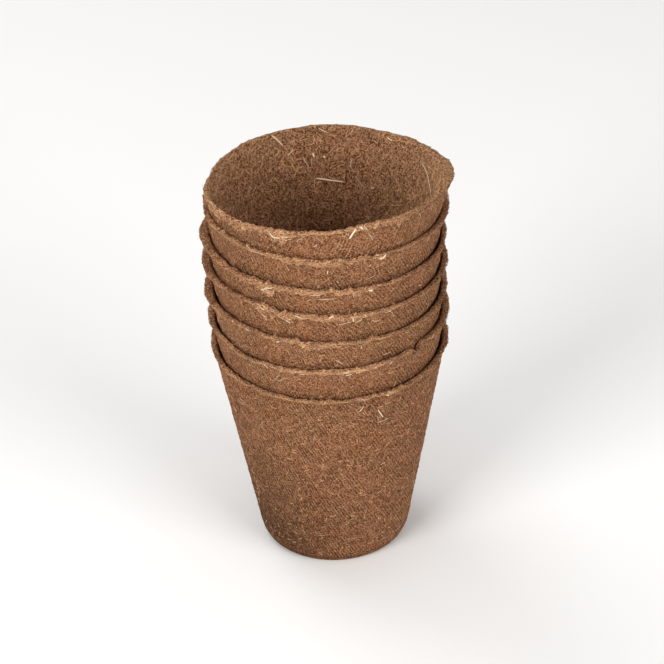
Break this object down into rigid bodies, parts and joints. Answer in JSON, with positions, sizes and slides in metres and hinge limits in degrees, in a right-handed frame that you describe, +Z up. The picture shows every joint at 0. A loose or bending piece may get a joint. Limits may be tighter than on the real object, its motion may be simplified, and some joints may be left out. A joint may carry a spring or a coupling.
{
  "type": "peat pot",
  "caption": "Stack of nested round tapered plant pots moulded from peat fibre, each lifting out of the one below it.",
  "frame": {"origin": "middle of the bottom pot's flat underside", "axes": "+Z up out of the pots' mouths, +X to the viewer's right in the picture, +Y away from the viewer"},
  "size_m": [0.0825, 0.0818, 0.1401],
  "materials": {
    "peat_pulp": "dry moulded peat and wood fibre, felt-like, with pale straw fibres and a fuzzy torn lip"
  },
  "bodies": {
    "bottom_pot": {"bottom_pot": "peat_pulp"},
    "second_pot": {"second_pot": "peat_pulp"},
    "third_pot": {"third_pot": "peat_pulp"},
    "fourth_pot": {"fourth_pot": "peat_pulp"},
    "fifth_pot": {"fifth_pot": "peat_pulp"},
    "sixth_pot": {"sixth_pot": "peat_pulp"},
    "top_pot": {"top_pot": "peat_pulp"}
  },
  "joints": [
    {"name": "second_pot_lift", "type": "slide", "parent": "bottom_pot", "child": "second_pot", "axis": [0, 0, 1], "range_m": [0, 0.08]},
    {"name": "third_pot_lift", "type": "slide", "parent": "second_pot", "child": "third_pot", "axis": [0, 0, 1], "range_m": [0, 0.08]},
    {"name": "fourth_pot_lift", "type": "slide", "parent": "third_pot", "child": "fourth_pot", "axis": [0, 0, 1], "range_m": [0, 0.08]},
    {"name": "fifth_pot_lift", "type": "slide", "parent": "fourth_pot", "child": "fifth_pot", "axis": [0, 0, 1], "range_m": [0, 0.08]},
    {"name": "sixth_pot_lift", "type": "slide", "parent": "fifth_pot", "child": "sixth_pot", "axis": [0, 0, 1], "range_m": [0, 0.08]},
    {"name": "top_pot_lift", "type": "slide", "parent": "sixth_pot", "child": "top_pot", "axis": [0, 0, 1], "range_m": [0, 0.08]}
  ]
}
